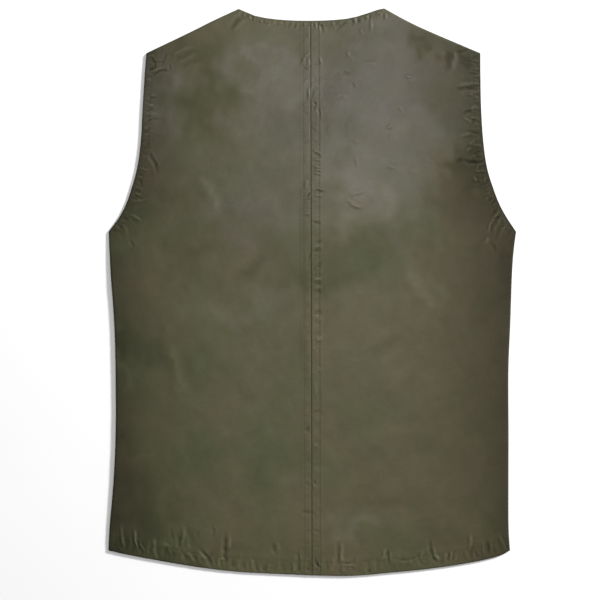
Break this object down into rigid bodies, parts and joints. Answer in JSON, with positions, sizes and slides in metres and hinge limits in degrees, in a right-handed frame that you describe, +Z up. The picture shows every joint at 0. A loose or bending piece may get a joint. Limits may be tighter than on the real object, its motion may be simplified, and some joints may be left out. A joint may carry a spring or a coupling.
{
  "type": "leather vest laid flat with its back up",
  "caption": "Sleeveless leather vest laid flat, back up: a topstitched seam down the middle of the back, puckered hem, armholes and neck, and plain fronts beneath.",
  "frame": {"origin": "middle of the vest's outline, on the surface it lies on", "axes": "+Z up from the surface, +Y from the hem to the shoulders, +X to the right as one looks down at the back"},
  "size_m": [0.5202, 0.724, 0.0073],
  "materials": {
    "back_leather": "semi-gloss dark olive brown leather with grey sheen and soft mottling",
    "front_leather": "semi-gloss dark olive brown leather"
  },
  "bodies": {
    "root": {"back_left": "back_leather", "back_right": "back_leather", "front_left": "front_leather", "front_right": "front_leather"}
  },
  "joints": []
}
